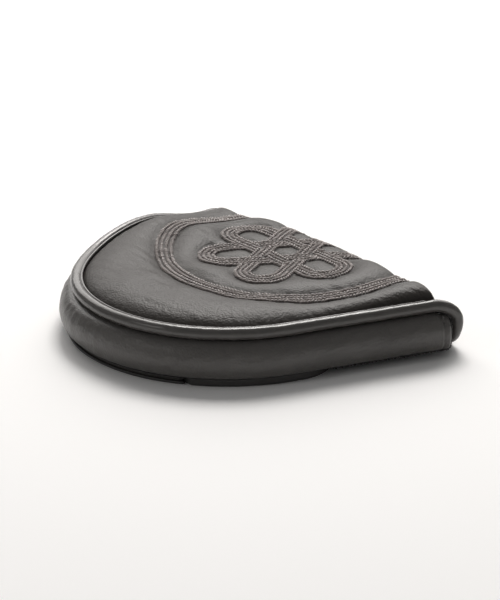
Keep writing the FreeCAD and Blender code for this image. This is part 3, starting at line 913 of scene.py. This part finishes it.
# ---------------------------------------------------------------- laid stitches and tufts
def stitch_tree():
    """Lays one small rounded stitch at each pitch along the lines, across the surface they lie on."""
    tree = bpy.data.node_groups.new("laid_stitches", "GeometryNodeTree")
    group_socket(tree, "Geometry", "NodeSocketGeometry", output=True)
    group_socket(tree, "Geometry", "NodeSocketGeometry")
    for name, value in (("Pitch", 0.001), ("Length", 0.0019), ("Width", 0.0007), ("Height", 0.0005),
                        ("Slant", 0.5), ("Jitter", 0.1), ("Size spread", 0.12)):
        group_socket(tree, name, "NodeSocketFloat", value=value)
    group_socket(tree, "Seed", "NodeSocketInt", value=1)
    group_socket(tree, "Material", "NodeSocketMaterial")
    g = Graph(tree)
    given = g.add("NodeGroupInput").outputs

    def chance(least, most, seed):
        node = g.add("FunctionNodeRandomValue", {"Seed": seed}, data_type="FLOAT")
        ends = [socket for socket in node.inputs if socket.type == "VALUE" and socket.enabled]
        g.feed(ends[0], least)
        g.feed(ends[1], most)
        return next(socket for socket in node.outputs if socket.enabled)

    curve = g.add("GeometryNodeMeshToCurve", {"Mesh": given["Geometry"]}).outputs["Curve"]
    even = g.add("GeometryNodeResampleCurve", mode="LENGTH")
    g.feed(even.inputs["Curve"], curve)
    g.feed(even.inputs["Length"], given["Pitch"])
    lie = g.add("GeometryNodeInputNamedAttribute", {"Name": "lie"}, data_type="FLOAT_VECTOR")
    turn = g.add("GeometryNodeInputNamedAttribute", {"Name": "turn"}, data_type="FLOAT")
    axes = g.add("FunctionNodeAxesToRotation", primary_axis="Z", secondary_axis="X")
    g.feed(axes.inputs["Primary Axis"], lie.outputs["Attribute"])
    g.feed(axes.inputs["Secondary Axis"], g.add("GeometryNodeInputTangent").outputs["Tangent"])
    back = g.math("MULTIPLY", given["Jitter"], -1.0)
    tilts = [chance(back, given["Jitter"], g.math("ADD", given["Seed"], 17.0 * k)) for k in range(3)]
    slant = g.math("ADD", g.math("MULTIPLY", given["Slant"], turn.outputs["Attribute"]), tilts[2])
    euler = g.add("ShaderNodeCombineXYZ", {"X": tilts[0], "Y": tilts[1], "Z": slant}).outputs[0]
    by = g.add("FunctionNodeEulerToRotation", {0: euler}).outputs[0]
    rotate = g.add("FunctionNodeRotateRotation", rotation_space="LOCAL")
    g.feed(rotate.inputs["Rotation"], axes.outputs["Rotation"])
    g.feed(rotate.inputs["Rotate By"], by)
    share = chance(g.math("SUBTRACT", 1.0, given["Size spread"]), g.math("ADD", 1.0, given["Size spread"]),
                   given["Seed"])
    size = g.add("ShaderNodeCombineXYZ")
    for axis, name in (("X", "Length"), ("Y", "Width"), ("Z", "Height")):
        g.feed(size.inputs[axis], g.math("MULTIPLY", given[name], share))
    bead = g.add("GeometryNodeMeshUVSphere", {"Segments": 8, "Rings": 5, "Radius": 0.5})
    place = g.add("GeometryNodeInstanceOnPoints", {
        "Points": even.outputs["Curve"], "Instance": bead.outputs["Mesh"], "Rotation": rotate.outputs[0],
        "Scale": size.outputs[0]})
    real = g.add("GeometryNodeRealizeInstances", {"Geometry": place.outputs["Instances"]})
    paint = g.add("GeometryNodeSetMaterial", {"Geometry": real.outputs["Geometry"],
                                              "Material": given["Material"]})
    g.add("NodeGroupOutput", {"Geometry": paint.outputs["Geometry"]})
    return tree


STITCHES = stitch_tree()


def sewn_piece(name, rows, material, body, slot, nodes=(), **settings):
    """Rows are (points, surface directions, turn, closed) lines; each is sewn with the shared tree."""
    verts, edges, lies, turns = [], [], [], []
    for points, directions, turn, closed in rows:
        first, count = len(lies), len(points)
        verts.extend(np.asarray(points, float).tolist())
        lies.extend(np.asarray(directions, float).tolist())
        turns.extend([float(turn)] * count)
        edges += [(first + k, first + k + 1) for k in range(count - 1)]
        if closed:
            edges.append((first + count - 1, first))
    guide = new_piece(name + "_guide", verts, [], material, edges)
    lie = guide.data.attributes.new("lie", "FLOAT_VECTOR", "POINT")
    lie.data.foreach_set("vector", np.array(lies, np.float32).ravel())
    turn = guide.data.attributes.new("turn", "FLOAT", "POINT")
    turn.data.foreach_set("value", np.array(turns, np.float32))
    modifier = guide.modifiers.new("stitches", "NODES")
    modifier.node_group = STITCHES
    values = dict(settings, Material=material)
    for item in STITCHES.interface.items_tree:
        if item.in_out == "INPUT" and item.name.replace(" ", "_") in values:
            modifier[item.identifier] = values[item.name.replace(" ", "_")]
    bpy.context.view_layer.update()
    evaluated = guide.evaluated_get(bpy.context.evaluated_depsgraph_get())
    mesh = bpy.data.meshes.new_from_object(evaluated)
    bpy.data.objects.remove(guide)
    finish_piece(shown(name, mesh), body, slot, *nodes)


def on_top(plan, lift):
    """Points at a height over the top leather, with the direction straight out of it."""
    x, y = plan[..., 0], plan[..., 1]
    h, step = top_height(x, y), 0.25
    dx = (top_height(x + step, y) - top_height(x - step, y)) / (2 * step)
    dy = (top_height(x, y + step) - top_height(x, y - step)) / (2 * step)
    normal = np.stack([-dx, -dy, np.ones_like(dx)], -1)
    normal /= np.linalg.norm(normal, axis=-1)[..., None]
    return np.concatenate([plan, h[..., None]], -1) + normal * np.asarray(lift)[..., None], normal


def bed_faces(line, count, raise_by):
    """A thin crowned strip under the stitches, following a family of offset lines."""
    half = BAND / 2 - 0.05
    across = np.linspace(-half, half, 13)
    crown = 0.30 * np.sqrt(np.clip(1 - (across / half) ** 2, 0, 1)) + raise_by
    above = [on_top(line(o, count), np.full(count, c))[0] for o, c in zip(across, crown)]
    below = [on_top(line(o, count), np.full(count, -0.5))[0] for o in across[::-4]]
    grid = np.stack(above + below, 1)
    return grid.reshape(-1, 3), grid_faces(count, grid.shape[1], True, True)


ROW_OFFSETS = (-2.4, -0.8, 0.8, 2.4)
ROW_SETTINGS = dict(Pitch=0.00118, Length=0.0019, Width=0.00080, Height=0.00085, Slant=0.72, Jitter=0.22,
                    Size_spread=0.18)


def make_ring():
    verts, faces = bed_faces(ring_line, 560, 0.0)
    bed = new_piece("ring_bed", verts, faces, THREAD_BED)
    finish_piece(bed, "cover", "embroidery_thread", "ring_embroidery")
    rows = []
    for k, offset in enumerate(ROW_OFFSETS):
        points, normals = on_top(ring_line(offset, 900), np.full(900, 0.42))
        rows.append((points, normals, 1 if k % 2 else -1, True))
    sewn_piece("ring_stitches", rows, THREAD, "cover", "embroidery_thread", Seed=3, **ROW_SETTINGS)


def runs(keep):
    """Index runs of a closed line that are kept."""
    count = len(keep)
    first = next((k for k in range(count) if not keep[k]), None)
    if first is None:
        return [list(range(count))]
    found, run = [], []
    for k in range(first, first + count):
        if keep[k % count]:
            run.append(k % count)
        elif run:
            found.append(run)
            run = []
    return found + ([run] if run else [])


def make_knot():
    """Three loops; each goes over the next one and under the one before it."""
    verts, faces, rows = [], [], []
    for i, turn in enumerate(LOOP_TURNS):
        def line(offset, count, turn=turn):
            return loop_line(turn, offset, count)

        points, quads = bed_faces(line, 300, 0.03 * i)
        faces += [[k + len(verts) for k in quad] for quad in quads]
        verts += points.tolist()
        over = loop_line(LOOP_TURNS[(i + 2) % 3], 0.0, 200)
        for k, offset in enumerate(ROW_OFFSETS):
            plan = line(offset, 640)
            keep = line_distance(plan[:, 0], plan[:, 1], over) > BAND / 2 + 0.15
            points, normals = on_top(plan, np.full(len(plan), 0.45))
            for run in runs(keep):
                if len(run) > 6:
                    rows.append((points[run], normals[run], 1 if k % 2 else -1, False))
    bed = new_piece("knot_bed", verts, faces, THREAD_BED)
    finish_piece(bed, "cover", "embroidery_thread", "motif_embroidery")
    sewn_piece("knot_stitches", rows, THREAD, "cover", "embroidery_thread", Seed=5, **ROW_SETTINGS)


def make_topstitching():
    """Rows that hold the wall's hems and the flap's bound edge."""
    outer = [(3.4, SEAM_Z - 1.2), (4.9, SEAM_Z - 3.4), (5.3, 8.5), (5.2, 6.0), (4.6, WALL_LOW + 0.7)]
    rows = []
    for s in (WALL_BACK + 2.5, PATH - WALL_BACK - 2.5):
        profile = np.array(outer) + [-0.35, 0.0]
        plan, normal = u_path(np.full(len(profile), s), profile[:, 0])
        points = np.column_stack([plan, profile[:, 1]])
        t = np.linspace(0, len(profile) - 1, 60)
        fine = np.stack([np.interp(t, np.arange(len(profile)), points[:, k]) for k in range(3)], -1)
        rows.append((fine, np.tile([*normal[0], 0.0], (60, 1)), 0, False))
    sewn_piece("hem_stitches", rows, SEWING, "cover", "outer_leather", Pitch=0.0021, Length=0.0016,
               Width=0.0005, Height=0.0005, Slant=0.0, Jitter=0.06, Size_spread=0.05, Seed=7)
    line = edge_of(flap_inside, FLAP_CENTRE, 620, 2.6)
    points = np.column_stack([line, np.full(len(line), 0.17)])
    rows = [(points, np.tile([0.0, 0.0, -1.0], (len(line), 1)), 0, True)]
    sewn_piece("flap_stitches", rows, SEWING, "flap", "outer_leather", Pitch=0.0026, Length=0.0020,
               Width=0.0005, Height=0.0003, Slant=0.0, Jitter=0.04, Size_spread=0.05, Seed=8)


def make_tufts():
    """Pile that shows under the wall in front of the flap and behind the wall's ends."""
    reach = -FLAP_FRONT / math.cos(FLARE)
    rows = []
    rng = np.random.default_rng(12)
    for side in (0, 1):
        for out, height in ((0.2, 2.6), (1.2, 2.3), (2.2, 2.5), (3.0, 2.9)):
            s = np.linspace(WALL_BACK + 0.2, reach - 2.0, 130)
            s = PATH - s if side else s
            plan, normal = u_path(s, np.full(len(s), out) + rng.normal(0, 0.15, len(s)))
            points = np.column_stack([plan, height + rng.normal(0, 0.12, len(s))])
            rows.append((points, np.column_stack([normal * 0.5, np.full(len(s), -1.0)]), 0, False))
        for out in (-1.2, -0.2, 0.8, 1.8, 2.8):
            up = np.linspace(WALL_LOW, SEAM_Z - 4.0 - abs(out) * 0.3, 40)
            place = np.full(len(up), PATH - WALL_BACK + 0.3 if side else WALL_BACK - 0.3)
            plan, normal = u_path(place, np.full(len(up), out))
            points = np.column_stack([plan, up])
            ahead = np.array([normal[0][1], -normal[0][0], 0.0])
            ahead *= np.sign(ahead[1])
            rows.append((points, np.tile(ahead, (len(up), 1)), 0, False))
    _, leg = piping_points()
    corner, normal = u_path(np.full(len(leg), PATH - WALL_BACK), np.full(len(leg), -0.4))
    end = np.column_stack([corner, np.clip(leg[:, 2] - 0.8, WALL_LOW, SEAM_Z - 2.0)])
    out = np.append(normal[0], 0.0)
    for share in np.linspace(0.08, 0.95, 8):
        line = (leg - out * 0.9) * (1 - share) + end * share + out * 0.7
        for side in (1, -1):
            rows.append((line * [side, 1, 1], np.tile(out * [side, 1, 1], (len(line), 1)), 0, False))
    sewn_piece("fleece_tufts", rows, FLEECE, "cover", "fleece_lining", ("lining_fringe",), Pitch=0.00075,
               Length=0.0013, Width=0.0011, Height=0.0016, Slant=0.0, Jitter=0.9, Size_spread=0.35, Seed=9)


def paint_hidden():
    """Finishes for the parts that keep their plain shape inside the cover."""
    finishes = {"magnet_tabs": FLAP_LEATHER, "magnet_tab_covers": CLOTH, "wall_magnets": MAGNET,
                "flap_magnets": MAGNET, "flap_stiffener": BOARD, "bottom_rear_board": BOARD}
    for name, material in finishes.items():
        mesh = frame["nodes"][name].data
        mesh.materials.clear()
        mesh.materials.append(material)


# ---------------------------------------------------------------- stage, light, camera
WHITE = (1.0, 1.0, 0.99, 1)


def make_stage():
    """A pale floor that keeps the shadow near the object and turns plain white further out."""
    bpy.ops.mesh.primitive_plane_add(size=8.0)
    floor = bpy.context.object
    floor.name = "floor"
    material, g, shader = start_material("pale_floor")
    for key, value in (("Base Color", (0.97, 0.97, 0.97, 1)), ("Roughness", 0.9),
                       ("Specular IOR Level", 0.1)):
        shader.inputs[key].default_value = value
    reach = g.add("ShaderNodeVectorMath", {0: g.place()}, operation="LENGTH").outputs["Value"]
    far = g.add("ShaderNodeMapRange", {"Value": reach, "From Min": 0.25, "From Max": 0.75},
                interpolation_type="SMOOTHSTEP")
    glow = g.add("ShaderNodeEmission", {"Color": WHITE})
    mix = g.add("ShaderNodeMixShader", {0: far.outputs["Result"], 1: shader.outputs["BSDF"],
                                        2: glow.outputs["Emission"]})
    output = next(node for node in g.nodes if node.type == "OUTPUT_MATERIAL")
    g.feed(output.inputs["Surface"], mix.outputs["Shader"])
    floor.data.materials.append(material)
    world = bpy.data.worlds.new("studio")
    bpy.context.scene.world = world
    world.use_nodes = True
    g = Graph(world.node_tree)
    soft = g.nodes["Background"]
    soft.inputs["Color"].default_value = (1.0, 0.995, 0.985, 1)
    soft.inputs["Strength"].default_value = 0.19
    backdrop = g.add("ShaderNodeBackground", {"Color": WHITE, "Strength": 1.0})
    seen = g.add("ShaderNodeLightPath").outputs["Is Camera Ray"]
    choose = g.add("ShaderNodeMixShader", {0: seen, 1: soft.outputs[0], 2: backdrop.outputs[0]})
    g.feed(g.nodes["World Output"].inputs["Surface"], choose.outputs[0])


def area_light(name, place, target, size, watts, colour):
    light = bpy.data.lights.new(name, "AREA")
    light.shape = "RECTANGLE"
    light.size, light.size_y = size
    light.energy = watts
    light.color = colour
    obj = shown(name, light)
    obj.location = place
    obj.rotation_euler = (Vector(target) - Vector(place)).to_track_quat("-Z", "Y").to_euler()


AZIMUTH, ELEVATION = math.radians(52.9), math.radians(21.4)
VIEW_DISTANCE = 1.0
LENS = 180.6                # focal length for a sensor 36 mm wide
AIM = Vector((-0.0004, 0.0036, 0.0063))


def make_camera():
    camera = bpy.data.cameras.new("camera")
    camera.lens = LENS
    camera.clip_end = 20.0
    back = Vector((math.sin(AZIMUTH) * math.cos(ELEVATION), -math.cos(AZIMUTH) * math.cos(ELEVATION),
                   math.sin(ELEVATION)))
    obj = shown("camera", camera)
    obj.location = AIM + back * VIEW_DISTANCE
    obj.rotation_euler = (-back).to_track_quat("-Z", "Y").to_euler()
    bpy.context.scene.camera = obj


LAMP = (1.0, 0.972, 0.945)  # slightly warm white
# name, height, distance behind the object, distance to the right, aim height, size, watts
LIGHTS = (("overhead_box", 1.05, 0.85, 0.1, 0.0, (0.6, 0.45), 12.5),
          ("back_box", 0.95, 1.35, 0.0, 0.02, (2.2, 1.3), 24.0),
          ("left_box", 0.85, -0.6, -1.1, 0.01, (0.22, 0.22), 1.3))


def make_lights():
    view = Vector((math.sin(AZIMUTH), -math.cos(AZIMUTH), 0))
    side = Vector((math.cos(AZIMUTH), math.sin(AZIMUTH), 0))
    for name, height, behind, right, aim, size, watts in LIGHTS:
        place = Vector((0, 0, height)) - view * behind + side * right
        area_light(name, place, (0, 0, aim), size, watts, LAMP)


make_top()
make_piping()
make_wall()
make_hem("hem_toe", "wall_hem_toe", WALL_BACK, WALL_START)
make_hem("hem_heel", "wall_hem_heel", PATH - WALL_START, PATH - WALL_BACK)
make_wall_lining()
make_lower_seam()
make_top_lining()
make_mouth_fleece()
make_flap()
make_rear_underside()
make_hinge_web()
make_ring()
make_knot()
make_topstitching()
make_tufts()
paint_hidden()
make_stage()
make_camera()
make_lights()
bpy.context.scene.view_settings.view_transform = "Standard"
